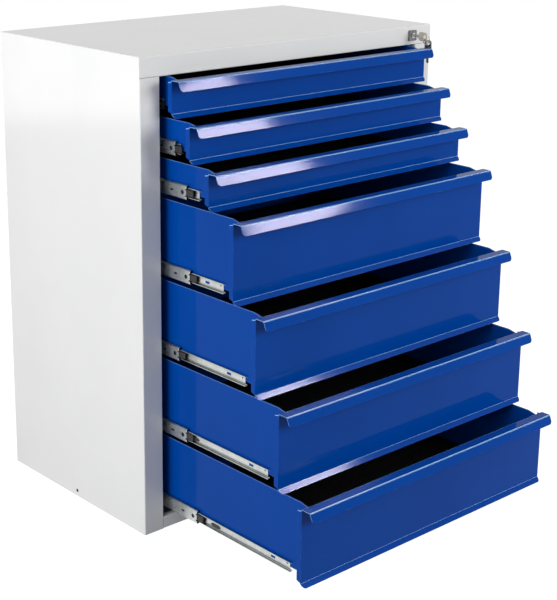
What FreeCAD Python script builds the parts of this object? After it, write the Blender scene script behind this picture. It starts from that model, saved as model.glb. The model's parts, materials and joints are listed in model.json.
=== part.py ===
# Workshop drawer cabinet: folded sheet-steel casing, seven drawers on telescopic ball slides,
# and a cylinder lock whose bar locks every drawer at once.
# Millimetres. Origin: centre of the footprint on the floor. X is the width, the fronts face -Y, +Z is up.
import FreeCAD, Part
import math
import os
import re
import Sketcher
from FreeCAD import Vector

doc = FreeCAD.newDocument("DrawerCabinet")

SIZES = {
    # casing
    "casing_width": 830,
    "casing_depth": 490,
    "casing_height": 1000,
    "sheet": 1.2,
    "bend_radius": 2.4,
    "stile_width": 49,
    "stile_return": 15,
    "rear_flange": 22,
    "fascia_height": 42,
    "fascia_return": 13,
    "rail_height": 26,
    "anchor_radius": 4,
    "anchor_height": 13,
    # uprights that carry the slides
    "upright_width": 40,
    "upright_setback": 32,
    "upright_rear": 165,
    "slot_width": 4,
    "slot_height": 16,
    "slot_pitch": 80,
    "slot_foot": 26.5,
    # drawer fronts
    "first_flange": 954,
    "shallow_pitch": 82,
    "deep_pitch": 170,
    "front_gap": 8,
    "front_width": 725,
    "lip_reach": 22,
    "lip_slant": 7.5,
    "lip_drop": 19,
    "kick_reach": 8.5,
    "kick_drop": 8,
    "corner_radius": 8,
    "front_return": 11,
    # drawer boxes
    "box_width": 690,
    "box_depth": 466,
    "box_sheet": 1,
    "hem_height": 12,
    "side_rise": 2.5,
    "side_notch": 22,
    "tray_lift": 9.5,
    # telescopic slides
    "slide_lift": 13.5,
    "slide_setback": 41,
    "slide_length": 425,
    "slide_sheet": 1.2,
    "slide_bend": 2,
    "slide_thickness": 12.7,
    "slide_gap": 1.5,
    "cabinet_member": 36,
    "middle_member": 29,
    "middle_web": 9.4,
    "drawer_member": 20,
    "drawer_member_depth": 6.2,
    "prong": 5,
    "stop_hole_radius": 1.8,
    "stop_hole_rise": 3,
    "stop_hole_back": 8,
    "drawer_slot_start": 47,
    "drawer_slot_length": 12,
    "drawer_slot_height": 5,
    "ear_inner": 5,
    "ear_outer": 8,
    "ear_depth": 3,
    "rivet_hole_back": 12,
    "rivet_hole_radius": 4.6,
    "latch_slot_start": 40,
    "latch_slot_length": 9,
    "latch_slot_height": 4,
    "screw_slot_start": 122,
    "screw_slot_length": 6,
    "screw_slot_height": 4.4,
    "bumper_length": 17,
    "bumper_height": 14,
    "bumper_thickness": 5.5,
    "bumper_grip": 9,
    "bumper_nose": 3,
    "lever_start": 209,
    "lever_length": 32,
    "lever_taper": 7,
    "lever_fall": 5,
    "lever_rise": 2,
    "lever_tip_fall": 1.5,
    "lever_thickness": 0.9,
    # how far each drawer, and the middle slide members beside it, stand out
    "open_1": 32,
    "open_2": 86,
    "open_3": 142,
    "open_4": 214,
    "open_5": 279,
    "open_6": 346,
    "open_7": 412,
    "middle_1": 16,
    "middle_2": 72,
    "middle_3": 106,
    "middle_4": 116,
    "middle_5": 80,
    "middle_6": 104,
    "middle_7": 136,
    # lock and keys
    "lock_side": 354,
    "lock_level": 979,
    "lock_bezel": 24,
    "bezel_depth": 5,
    "bezel_corner": 2,
    "bezel_rim": 1.5,
    "barrel_radius": 9,
    "barrel_length": 22,
    "barrel_play": 0.3,
    "cylinder_radius": 6,
    "cylinder_play": 0.08,
    "cylinder_stand": 0.8,
    "cylinder_rear": 23,
    "keyway_play": 0.1,
    "keyway_depth": 22,
    "tail_width": 6,
    "tail_play": 0.05,
    "cam_rear": 26.5,
    "cam_radius": 11,
    "cam_thickness": 3,
    "crank_radius": 8.5,
    "pin_radius": 1.5,
    "pin_length": 4.5,
    "key_thickness": 2,
    "key_reach": 45,
    "key_hole_reach": 38,
    "bow_width": 20,
    "bow_length": 24,
    "blade_width": 7,
    "blade_length": 28,
    "key_hole_radius": 4,
    "bow_corner": 6,
    "notch_pitch": 5,
    "notch_slope": 1.2,
    "notch_shallow": 1.2,
    "notch_deep": 1.8,
    "tip_bevel": 2,
    "ring_radius": 10,
    "ring_wire": 0.9,
    "ring_shift": 13,
    "ring_fall": 15,
    # lock bar and what it catches
    "bar_width": 16,
    "bar_sheet": 1.5,
    "bar_side": 370,
    "bar_setback": 27.5,
    "bar_foot": 45,
    "arm_height": 14,
    "slot_play": 0.5,
    "weld_gap": 0.05,
    "hook_reach": 20,
    "hook_height": 12,
    "hook_drop": 30,
    "catch_reach": 11,
    "catch_height": 10,
    "catch_drop": 16,
    "catch_front": 31.5,
    "catch_rear": 50,
    "guide_sheet": 1.8,
    "guide_height": 15,
    "guide_play": 1.5,
    "guide_gap": 1,
}
DRAWERS = range(1, 8)
SHALLOW = 3
GUIDE_LEVELS = (100, 600, 885)
UPRIGHT_SLOTS = range(12)
KEY_NOTCHES = range(4)
SMALL = 1e-6

table = doc.addObject("Spreadsheet::Sheet", "Sizes")
for row, (word, number) in enumerate(SIZES.items(), 1):
    table.set(f"A{row}", word)
    table.set(f"B{row}", str(number))
    table.setAlias(f"B{row}", word)
doc.recompute()


def value(formula):
    """The number that a formula in the sheet's words has."""
    return table.evalExpression(str(formula))


def bound(formula):
    """The same formula as an expression any object of the document can hold."""
    return re.sub(r"[a-z]\w*", lambda word: "Sizes." + word.group(), str(formula))


def bind(item, where, formula):
    item.setExpression(where, bound(formula))


def new_body(label, place=("0", "0", "0")):
    body = doc.addObject("PartDesign::Body", label)
    body.Label = label
    body.AllowCompound = True
    for axis, formula in zip("xyz", place):
        bind(body, f"Placement.Base.{axis}", formula)
    return body


def new_sketch(body, plane, offset="0"):
    """An empty sketch on the body's own XY, XZ or YZ plane, moved along that plane's normal."""
    sketch = body.newObject("Sketcher::SketchObject", body.Label + "_outline")
    origin = [item for item in body.Origin.OriginFeatures if item.Role == plane + "_Plane"]
    sketch.AttachmentSupport = [(origin[0], "")]
    sketch.MapMode = "FlatFace"
    bind(sketch, "AttachmentOffset.Base.z", offset)
    return sketch


def pin(sketch, geometry, point, corner):
    """Hold one point of a sketch at a corner given as two formulas."""
    for axis, other_axis, formula in (("X", -2, corner[0]), ("Y", -1, corner[1])):
        place = value(formula)
        if abs(place) < SMALL:
            sketch.addConstraint(Sketcher.Constraint("PointOnObject", geometry, point, other_axis))
            continue
        rule = Sketcher.Constraint("Distance" + axis, -1, 1, geometry, point, place)
        bind(sketch, f"Constraints[{sketch.addConstraint(rule)}]", formula)


def polygon(sketch, corners):
    """Add a closed outline through corners to a sketch."""
    points = [Vector(value(across), value(up), 0) for across, up in corners]
    first = sketch.GeometryCount
    last = first + len(points) - 1
    for start, end in zip(points, points[1:] + points[:1]):
        sketch.addGeometry(Part.LineSegment(start, end), False)
    for number, corner in enumerate(corners):
        line = first + number
        before = line - 1 if number else last
        sketch.addConstraint(Sketcher.Constraint("Coincident", before, 2, line, 1))
        pin(sketch, line, 1, corner)
    return sketch


def rectangle(sketch, low, high):
    return polygon(sketch, [low, (high[0], low[1]), high, (low[0], high[1])])


def faceted_circle(sketch, centre, radius, sides=12):
    """A round outline drawn with few sides, which keeps small holes in many members light."""
    turns = [2 * math.pi * (side + 0.5) / sides for side in range(sides)]
    return polygon(sketch, [(f"{centre[0]} + {radius}*{math.cos(turn):.5f}",
                             f"{centre[1]} + {radius}*{math.sin(turn):.5f}") for turn in turns])


def corner_waste(sketch, corner, centre):
    """Add what is cut away when a square corner is rounded about a centre."""
    spots = [(centre[0], corner[1]), corner, (corner[0], centre[1])]
    start, tip, end = [Vector(value(across), value(up), 0) for across, up in spots]
    middle = Vector(value(centre[0]), value(centre[1]), 0)
    first = sketch.GeometryCount
    sketch.addGeometry(Part.LineSegment(start, tip), False)
    sketch.addGeometry(Part.LineSegment(tip, end), False)
    bulge = middle + (tip - middle).normalize() * (tip - end).Length
    sketch.addGeometry(Part.Arc(end, bulge, start), False)
    pin(sketch, first, 1, spots[0])
    pin(sketch, first, 2, spots[1])
    pin(sketch, first + 1, 2, spots[2])
    sketch.addConstraint(Sketcher.Constraint("Coincident", first, 2, first + 1, 1))
    # an arc's first point is the one that it is drawn anticlockwise from
    upright_first = (start - middle).cross(end - middle).z < 0
    low, high = (1, 2) if upright_first else (2, 1)
    sketch.addConstraint(Sketcher.Constraint("Coincident", first + 2, low, first + 1, 2))
    sketch.addConstraint(Sketcher.Constraint("Coincident", first + 2, high, first, 1))
    return sketch


def circle(sketch, centre, radius):
    middle = Vector(value(centre[0]), value(centre[1]), 0)
    number = sketch.addGeometry(Part.Circle(middle, Vector(0, 0, 1), value(radius)), False)
    pin(sketch, number, 3, centre)
    rule = Sketcher.Constraint("Radius", number, value(radius))
    bind(sketch, f"Constraints[{sketch.addConstraint(rule)}]", radius)
    return sketch


def pad(body, sketch, length, both_ways=False, backwards=False):
    feature = body.newObject("PartDesign::Pad", body.Label + "_pad")
    feature.Profile = sketch
    bind(feature, "Length", length)
    feature.Midplane = both_ways
    feature.Reversed = backwards
    doc.recompute()
    return feature


def pocket(body, sketch, length, backwards=False):
    """Cut a sketch into the body, and make sure that it removes something."""
    before = body.Shape.Volume
    feature = body.newObject("PartDesign::Pocket", body.Label + "_pocket")
    feature.Profile = sketch
    bind(feature, "Length", length)
    feature.Reversed = backwards
    doc.recompute()
    if body.Shape.Volume > before - 0.01:
        raise RuntimeError(f"{feature.Label} cuts nothing")
    return feature


def mirror(body, features=()):
    """Repeat some features, or else the whole body, on the other side of its YZ plane."""
    feature = body.newObject("PartDesign::Mirrored", body.Label + "_mirrored")
    plane = [item for item in body.Origin.OriginFeatures if item.Role == "YZ_Plane"][0]
    feature.MirrorPlane = (plane, [""])
    feature.Originals = list(features)
    feature.TransformMode = "Features" if features else "Whole shape"
    body.Tip = feature
    doc.recompute()
    return feature


def dress(body, kind, size_name, size, spots):
    """Fillet or chamfer every edge whose middle lies at one of the spots (formula triples)."""
    targets = [Vector(*[value(formula) for formula in spot]) for spot in spots]
    names = []
    base = body.Tip
    for number, edge in enumerate(base.Shape.Edges, 1):
        if any((edge.CenterOfMass - target).Length < 0.4 for target in targets):
            names.append(f"Edge{number}")
    if len(names) < len(targets):
        raise RuntimeError(f"{body.Label}: {len(names)} edges found for {len(targets)} spots")
    feature = body.newObject("PartDesign::" + kind, f"{body.Label}_{kind.lower()}")
    feature.Base = (base, names)
    bind(feature, size_name, size)
    doc.recompute()
    if feature.Shape.isNull() or not feature.isValid():
        raise RuntimeError(f"{feature.Label} can't be {value(size)}")
    return feature


def fillet(body, radius, spots):
    return dress(body, "Fillet", "Radius", radius, spots)


def chamfer(body, size, spots):
    return dress(body, "Chamfer", "Size", size, spots)


# casing

FRONT = "-casing_depth/2"
BACK = "casing_depth/2"
INSIDE = "(casing_width/2 - sheet)"
OPENING = "(casing_width/2 - stile_width)"
OPENING_TOP = "(casing_height - fascia_height)"
UNDER_TOP = "(casing_height - sheet)"
UPRIGHT_WEB = "(box_width/2 + slide_thickness)"


def side_panel(label, side):
    """One sheet: stile with its return in front, the side itself, and a flange at the rear."""
    body = new_body(label)
    outer = "casing_width/2"
    stile_end = f"({FRONT} + stile_return)"
    plan = [
        (outer, FRONT),
        (outer, BACK),
        (f"{outer} - rear_flange", BACK),
        (f"{outer} - rear_flange", f"{BACK} - sheet"),
        (INSIDE, f"{BACK} - sheet"),
        (INSIDE, f"{FRONT} + sheet"),
        (f"{OPENING} + sheet", f"{FRONT} + sheet"),
        (f"{OPENING} + sheet", stile_end),
        (OPENING, stile_end),
        (OPENING, FRONT),
    ]
    pad(body, polygon(new_sketch(body, "XY"), [(f"{side}*({x})", y) for x, y in plan]), UNDER_TOP)
    bends = ((outer, FRONT), (outer, BACK), (OPENING, FRONT))
    fillet(body, "bend_radius", [(f"{side}*{x}", y, f"{UNDER_TOP}/2") for x, y in bends])
    # the fascia of the top panel takes the stile's place above the opening
    cut = rectangle(new_sketch(body, "XY", "casing_height"),
                    (f"{side}*({OPENING} - sheet)", f"{FRONT} - sheet"),
                    (f"{side}*({outer} + sheet)", f"{FRONT} + sheet"))
    pocket(body, cut, "fascia_height")
    cut = rectangle(new_sketch(body, "XY", "casing_height"),
                    (f"{side}*({OPENING} - sheet)", f"{FRONT} - sheet"),
                    (f"{side}*({OPENING} + 2*sheet)", f"{stile_end} + sheet"))
    pocket(body, cut, "fascia_height")
    far_plane = f"{outer} + sheet" if side > 0 else f"sheet - {INSIDE}"
    hole = circle(new_sketch(body, "YZ", far_plane), ("0", "anchor_height"), "anchor_radius")
    pocket(body, hole, "3*sheet")
    return body


def top_panel():
    """Top, front fascia with its return, and a short flange down the rear, folded from one sheet."""
    body = new_body("top_panel")
    section = [
        (FRONT, OPENING_TOP),
        (f"{FRONT} + fascia_return", OPENING_TOP),
        (f"{FRONT} + fascia_return", f"{OPENING_TOP} + sheet"),
        (f"{FRONT} + sheet", f"{OPENING_TOP} + sheet"),
        (f"{FRONT} + sheet", UNDER_TOP),
        (BACK, UNDER_TOP),
        (BACK, "casing_height"),
        (FRONT, "casing_height"),
    ]
    pad(body, polygon(new_sketch(body, "YZ"), section), "casing_width", both_ways=True)
    # clearance for the stile returns and for the lock
    for side in (-1, 1):
        corner = rectangle(new_sketch(body, "XY", f"{OPENING_TOP} + 2*sheet"),
                           (f"{side}*({OPENING} - sheet)", f"{FRONT} + sheet"),
                           (f"{side}*casing_width/2", f"{FRONT} + 2*fascia_return"))
        pocket(body, corner, "3*sheet")
    hole = circle(new_sketch(body, "XZ", "casing_depth/2 + sheet"),
                  ("lock_side", "lock_level"), "barrel_radius + barrel_play")
    pocket(body, hole, "3*sheet")
    fillet(body, "bend_radius", [("0", FRONT, "casing_height"), ("0", FRONT, OPENING_TOP)])
    return body


def bottom_panel():
    """Floor pan folded up into the front rail, notched round the stiles."""
    body = new_body("bottom_panel")
    rear = f"({BACK} - sheet)"
    section = [
        (FRONT, "0"),
        (rear, "0"),
        (rear, "sheet"),
        (f"{FRONT} + sheet", "sheet"),
        (f"{FRONT} + sheet", "rail_height - sheet"),
        (f"{FRONT} + stile_return", "rail_height - sheet"),
        (f"{FRONT} + stile_return", "rail_height"),
        (FRONT, "rail_height"),
    ]
    pad(body, polygon(new_sketch(body, "YZ"), section), f"2*{INSIDE}", both_ways=True)
    fillet(body, "bend_radius", [("0", FRONT, "rail_height"), ("0", FRONT, "0")])
    notches = new_sketch(body, "XY", "rail_height + sheet")
    for side in (-1, 1):
        rectangle(notches, (f"{side}*{OPENING}", f"{FRONT} - sheet"),
                  (f"{side}*(casing_width/2)", f"{FRONT} + stile_return"))
    pocket(body, notches, "rail_height + 2*sheet")
    return body


def back_panel():
    """Closes the rear, with a stiffening fold along its top and bottom."""
    body = new_body("back_panel")
    outer = f"({BACK} - sheet)"
    fold = f"({outer} - stile_return)"
    section = [
        (outer, "sheet"),
        (outer, UNDER_TOP),
        (fold, UNDER_TOP),
        (fold, f"{UNDER_TOP} - sheet"),
        (f"{outer} - sheet", f"{UNDER_TOP} - sheet"),
        (f"{outer} - sheet", "2*sheet"),
        (fold, "2*sheet"),
        (fold, "sheet"),
    ]
    pad(body, polygon(new_sketch(body, "YZ"), section), f"2*{INSIDE}", both_ways=True)
    return body


def upright(label, side, near):
    """Perforated channel from floor to top, its web facing the slides."""
    body = new_body(label, ("0", near, "sheet"))
    plan = [
        (UPRIGHT_WEB, "0"),
        (INSIDE, "0"),
        (INSIDE, "sheet"),
        (f"{UPRIGHT_WEB} + sheet", "sheet"),
        (f"{UPRIGHT_WEB} + sheet", "upright_width - sheet"),
        (INSIDE, "upright_width - sheet"),
        (INSIDE, "upright_width"),
        (UPRIGHT_WEB, "upright_width"),
    ]
    pad(body, polygon(new_sketch(body, "XY"), [(f"{side}*({x})", y) for x, y in plan]),
        f"{UNDER_TOP} - sheet")
    slots = new_sketch(body, "YZ", f"{side}*({UPRIGHT_WEB} - sheet)")
    for step in UPRIGHT_SLOTS:
        low = f"(slot_foot + {step}*slot_pitch)"
        rectangle(slots, ("upright_width/2 - slot_width/2", low),
                  ("upright_width/2 + slot_width/2", f"{low} + slot_height"))
    pocket(body, slots, "3*sheet", backwards=side > 0)
    return body


# drawers

def pitch(number):
    return "shallow_pitch" if number <= SHALLOW else "deep_pitch"


def height(number):
    return f"({pitch(number)} - front_gap)"


def crease(number):
    """Depth below the flange at which the front bends out into the kick."""
    return f"({height(number)} - kick_drop)"


def flange_level(number):
    shallow = min(number - 1, SHALLOW)
    return f"(first_flange - {shallow}*shallow_pitch - {number - 1 - shallow}*deep_pitch)"


def slide_level(number):
    return f"({flange_level(number)} - {crease(number)} + slide_lift)"


def drawer_place(number):
    """A drawer's own origin: the middle of its front's flange, on the front face."""
    return "0", f"{FRONT} - open_{number}", flange_level(number)


def drawer_front(number):
    """Folded front: pull flange and slanted lip above, face, kick below, a return at each end."""
    body = new_body(f"drawer_front_{number}", drawer_place(number))
    fold = crease(number)
    foot = height(number)
    lip_tip = "(-lip_reach - lip_slant)"
    section = [
        (lip_tip, "-lip_drop"),
        ("-lip_reach", "0"),
        ("sheet", "0"),
        ("sheet", f"-{fold}"),
        ("1.5*sheet - kick_reach", f"-{foot}"),
        ("-kick_reach", f"-{foot}"),
        ("0", f"-{fold}"),
        ("0", "-sheet"),
        ("sheet - lip_reach", "-sheet"),
        (f"{lip_tip} + sheet", "-lip_drop"),
    ]
    pad(body, polygon(new_sketch(body, "YZ"), section), "front_width", both_ways=True)
    half = "front_width/2"
    for level, reach in (("-lip_drop", "lip_reach + lip_slant"), (f"-{foot}", "kick_reach")):
        waste = new_sketch(body, "XZ", f"{reach} + 1")
        for end in ("-", ""):
            corner_waste(waste, (f"{end}{half}", level), (f"{end}({half} - corner_radius)",
                                                        f"{level} + corner_radius"))
        pocket(body, waste, "kick_reach + 2*sheet")
    fillet(body, "bend_radius", [("0", "-lip_reach", "0"), ("0", "sheet", "0")])
    side_return = [
        ("0", "-2*sheet"),
        ("front_return", "-4*sheet"),
        ("front_return", f"-{fold} + 4*sheet"),
        ("0", f"-{fold} + sheet"),
    ]
    end = pad(body, polygon(new_sketch(body, "YZ", "front_width/2"), side_return), "sheet", backwards=True)
    mirror(body, [end])
    return body


def drawer_box(number):
    """Folded tray with hemmed sides and a back wall, open towards the front."""
    body = new_body(f"drawer_box_{number}", drawer_place(number))
    out = "box_width/2"
    inner = f"({out} - box_sheet)"
    hem = f"({out} - 2.2*box_sheet)"
    low = f"(tray_lift - {crease(number)})"
    top = "side_rise"
    half = [
        (out, low),
        (out, top),
        (hem, top),
        (hem, f"{top} - hem_height"),
        (inner, f"{top} - hem_height"),
        (inner, f"{low} + box_sheet"),
    ]
    section = half + [(f"-{x}", z) for x, z in reversed(half)]
    pad(body, polygon(new_sketch(body, "XZ", "-sheet"), section), "box_depth - sheet", backwards=True)
    wall = rectangle(new_sketch(body, "XZ", "-box_depth"),
                     (f"-{inner}", f"{low} + box_sheet/2"), (inner, top))
    pad(body, wall, "box_sheet")
    slope = [
        ("0", "-side_rise"),
        ("side_notch", "side_rise"),
        ("side_notch", "2*side_rise"),
        ("0", "2*side_rise"),
    ]
    pocket(body, polygon(new_sketch(body, "YZ", "casing_width/2"), slope), "casing_width")
    middle = "(box_depth + sheet)/2"
    fillet(body, "3*box_sheet", [(out, middle, low), (f"-{out}", middle, low)])
    return body


def channel(web, side, depth, member):
    """Section of a slide member: a web with a raceway flange folded from each of its edges."""
    half = f"{member}/2"
    wall = "slide_sheet"
    bend = "slide_bend"
    upper = [
        (wall, f"{half} - {bend}"),
        (bend, f"{half} - {wall}"),
        (depth, f"{half} - {wall}"),
        (depth, half),
        (bend, half),
        ("0", f"{half} - {bend}"),
    ]
    corners = upper + [(across, f"-({up})") for across, up in reversed(upper)]
    return [(f"{web} {side} ({across})", up) for across, up in corners]


def slide_member(body, section):
    """Run a member's section back from the origin of its body."""
    pad(body, polygon(new_sketch(body, "XZ"), section), "slide_length", backwards=True)


def punch(body, shapes):
    """Cut shapes, drawn on the YZ plane, through everything on the +X side of a body."""
    sketch = new_sketch(body, "YZ", "casing_width/2")
    for draw, *numbers in shapes:
        draw(sketch, *numbers)
    pocket(body, sketch, "casing_width/2 - 1")


def drawer_members(number):
    """Inner slide members screwed to the drawer's sides, and the catch that the lock bar holds."""
    body = new_body(f"drawer_members_{number}",
                    ("0", f"{FRONT} - open_{number} + slide_setback", slide_level(number)))
    web = "drawer_member/2 - slide_bend"
    slide_member(body, channel("box_width/2", "+", "drawer_member_depth", "drawer_member"))
    punch(body, [
        (rectangle, ("0", f"-({web} - 1)"), ("prong", f"{web} - 1")),
        (rectangle, ("drawer_slot_start", "-drawer_slot_height/2"),
         ("drawer_slot_start + drawer_slot_length", "drawer_slot_height/2")),
        (faceted_circle, ("prong + stop_hole_back", "stop_hole_rise"), "stop_hole_radius", 8),
    ])
    mirror(body)
    front = "(catch_front - slide_setback)"
    catch = [
        ("box_width/2", front),
        ("box_width/2 + catch_reach", front),
        ("box_width/2 + catch_reach", f"{front} + bar_sheet"),
        ("box_width/2 + bar_sheet", f"{front} + bar_sheet"),
        ("box_width/2 + bar_sheet", "catch_rear - slide_setback"),
        ("box_width/2", "catch_rear - slide_setback"),
    ]
    level = f"({crease(number)} - slide_lift - catch_drop)"
    pad(body, polygon(new_sketch(body, "XY", level), catch), "catch_height")
    return body


def middle_members(number):
    """Floating slide members between the casing's and the drawer's."""
    body = new_body(f"middle_members_{number}",
                    ("0", f"{FRONT} - middle_{number} + slide_setback", slide_level(number)))
    web = "box_width/2 + middle_web"
    slide_member(body, channel(web, "-", "middle_web - slide_gap", "middle_member"))
    punch(body, [
        (rectangle, ("0", "ear_inner"), ("ear_depth", "ear_outer")),
        (rectangle, ("0", "-ear_outer"), ("ear_depth", "-ear_inner")),
        (faceted_circle, ("rivet_hole_back", "0"), "rivet_hole_radius"),
        (rectangle, ("latch_slot_start", "-latch_slot_height/2"),
         ("latch_slot_start + latch_slot_length", "latch_slot_height/2")),
        (rectangle, ("screw_slot_start", "-screw_slot_height/2"),
         ("screw_slot_start + screw_slot_length", "screw_slot_height/2")),
    ])
    mirror(body)
    return body


def slide_bumpers(number):
    """Plastic stops in the mouth of the middle members, ahead of their front ends."""
    body = new_body(f"slide_bumpers_{number}",
                    ("0", f"{FRONT} - middle_{number} + slide_setback", slide_level(number)))
    web = "(box_width/2 + middle_web - slide_sheet)"
    inner = f"{web} - bumper_thickness"
    plan = [
        (web, "bumper_grip"),
        (web, "bumper_nose - bumper_length"),
        (f"{web} - bumper_nose/2", "-bumper_length"),
        (inner, "-bumper_length"),
        (inner, "bumper_grip"),
    ]
    pad(body, polygon(new_sketch(body, "XY"), plan), "bumper_height", both_ways=True)
    mirror(body)
    return body


def release_levers(number):
    """Thin levers against the webs of the drawer's slide members, pressed to free the drawer."""
    body = new_body(f"release_levers_{number}",
                    ("0", f"{FRONT} - open_{number} + slide_setback", slide_level(number)))
    near = "(lever_start + lever_taper)"
    far = "(lever_start + lever_length - lever_taper)"
    outline = [
        ("lever_start", "-lever_tip_fall"),
        (near, "-lever_fall"),
        (far, "-lever_fall"),
        ("lever_start + lever_length", "-lever_tip_fall"),
        (far, "lever_rise"),
        (near, "lever_rise"),
    ]
    flat = new_sketch(body, "YZ", "box_width/2 + slide_sheet")
    pad(body, polygon(flat, outline), "lever_thickness")
    mirror(body)
    return body


def cabinet_members():
    """Outer slide members screwed to the uprights, a pair for every drawer."""
    body = new_body("cabinet_members", ("0", f"{FRONT} + slide_setback", "0"))
    web = "box_width/2 + slide_thickness"
    for number in DRAWERS:
        corners = channel(web, "-", "slide_thickness - slide_gap", "cabinet_member")
        raised = [(x, f"{slide_level(number)} + {z}") for x, z in corners]
        pad(body, polygon(new_sketch(body, "XZ"), raised), "slide_length", backwards=True)
    mirror(body)
    return body


# lock

LOCK_PLACE = ("lock_side", FRONT, "lock_level")
BAR_FACE = f"({FRONT} + bar_setback)"
CRANK = "(crank_radius/2^0.5)"


def lock_housing():
    """Square bezel on the fascia with the barrel that the cylinder turns in."""
    body = new_body("lock_housing", LOCK_PLACE)
    half = "lock_bezel/2"
    bezel = rectangle(new_sketch(body, "XZ"), (f"-{half}", f"-{half}"), (half, half))
    pad(body, bezel, "bezel_depth")
    barrel = faceted_circle(new_sketch(body, "XZ"), ("0", "0"), "barrel_radius", 24)
    pad(body, barrel, "barrel_length", backwards=True)
    bore = faceted_circle(new_sketch(body, "XZ", "bezel_depth + 1"), ("0", "0"),
                          "(cylinder_radius + 2*cylinder_play)", 24)
    pocket(body, bore, "2*barrel_length")
    corners = [(x, "-bezel_depth/2", z) for x in (f"-{half}", half) for z in (f"-{half}", half)]
    fillet(body, "bezel_corner", corners)
    rims = [("0", "-bezel_depth", f"-{half}"), ("0", "-bezel_depth", half),
            (f"-{half}", "-bezel_depth", "0"), (half, "-bezel_depth", "0")]
    chamfer(body, "bezel_rim", rims)
    return body


def lock_cylinder():
    """Turning plug with its keyway, and the square tail that carries the cam."""
    body = new_body("lock_cylinder", LOCK_PLACE)
    face = "(bezel_depth + cylinder_stand)"
    plug = circle(new_sketch(body, "XZ", face), ("0", "0"), "cylinder_radius")
    pad(body, plug, f"{face} + cylinder_rear", backwards=True)
    half = "tail_width/2"
    tail = rectangle(new_sketch(body, "XZ", "-cylinder_rear"), (f"-{half}", f"-{half}"), (half, half))
    pad(body, tail, "cam_rear - cylinder_rear", backwards=True)
    slot = rectangle(new_sketch(body, "XZ", f"{face} + 1"),
                     ("-key_thickness/2 - keyway_play", "-blade_width/2 - keyway_play"),
                     ("key_thickness/2 + keyway_play", "blade_width/2 + keyway_play"))
    pocket(body, slot, f"{face} + 1 + keyway_depth - bezel_depth")
    return body


def lock_cam():
    """Disc on the cylinder's tail whose crank pin lifts the lock bar."""
    body = new_body("lock_cam", LOCK_PLACE)
    near = "(cam_rear - cam_thickness)"
    disc = faceted_circle(new_sketch(body, "XZ", f"-{near}"), ("0", "0"), "cam_radius", 24)
    pad(body, disc, "cam_thickness", backwards=True)
    half = "(tail_width/2 + tail_play)"
    hole = rectangle(new_sketch(body, "XZ", f"1 - {near}"), (f"-{half}", f"-{half}"), (half, half))
    pocket(body, hole, "2*cam_thickness")
    pin_foot = faceted_circle(new_sketch(body, "XZ", "-cam_rear"), (CRANK, f"-{CRANK}"), "pin_radius")
    pad(body, pin_foot, "pin_length", backwards=True)
    return body


def key_outline(body, hanging):
    """Bow, and a notched blade that runs on from it, along the body's Y axis or down its Z axis."""
    neck = "(bow_length - key_reach)"
    half = "blade_width/2"
    wide = "bow_width/2"
    rim = [("-key_reach", f"-{wide}"), (neck, f"-{wide}"), (neck, f"-{half}")]
    for notch in KEY_NOTCHES:
        start = f"({neck} + notch_pitch*{notch + 1})"
        floor = "notch_shallow - blade_width/2" if notch % 2 else "notch_deep - blade_width/2"
        rim += [(start, f"-{half}"), (f"{start} + notch_slope", floor),
                (f"{start} + 2*notch_slope", floor), (f"{start} + 3*notch_slope", f"-{half}")]
    tip = f"({neck} + blade_length)"
    rim += [(f"{tip} - tip_bevel", f"-{half}"), (tip, "0"), (f"{tip} - tip_bevel", half), (neck, half),
            (neck, wide), ("-key_reach", wide)]
    corners = [(across, f"-({along})") for along, across in rim] if hanging else rim
    pad(body, polygon(new_sketch(body, "YZ"), corners), "key_thickness", both_ways=True)


def key_bow(body, hanging):
    """The hole in a key's bow and the bow's round corners."""
    hole_place = ("0", "key_hole_reach") if hanging else ("-key_hole_reach", "0")
    pocket(body, circle(new_sketch(body, "YZ", "key_thickness"), hole_place, "key_hole_radius"),
           "2*key_thickness")
    spots = []
    for along in ("-key_reach", "(bow_length - key_reach)"):
        for across in ("bow_width/2", "-bow_width/2"):
            spots.append(("0", across, f"-{along}") if hanging else ("0", along, across))
    fillet(body, "bow_corner", spots)


def lock_key():
    """Key in the lock, its bow standing on edge."""
    body = new_body("lock_key", LOCK_PLACE)
    key_outline(body, hanging=False)
    key_bow(body, hanging=False)
    return body


def spare_key():
    """Second key, hanging blade down from the ring."""
    place = ("lock_side + ring_shift", f"{FRONT} - key_hole_reach", "lock_level - ring_fall - key_hole_reach")
    body = new_body("spare_key", place)
    key_outline(body, hanging=True)
    key_bow(body, hanging=True)
    return body


def key_ring():
    """Flat-wound wire ring that joins the two keys."""
    place = ("lock_side + ring_shift/2", f"{FRONT} - key_hole_reach", "lock_level - ring_fall/2")
    body = new_body("key_ring", place)
    wire = rectangle(new_sketch(body, "YZ"), ("-ring_wire", "ring_radius - ring_wire/1.4"),
                     ("ring_wire", "ring_radius + ring_wire/1.4"))
    turn = body.newObject("PartDesign::Revolution", "key_ring_turn")
    turn.Profile = wire
    turn.ReferenceAxis = (wire, ["H_Axis"])
    turn.Angle = 360
    doc.recompute()
    return body


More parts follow.
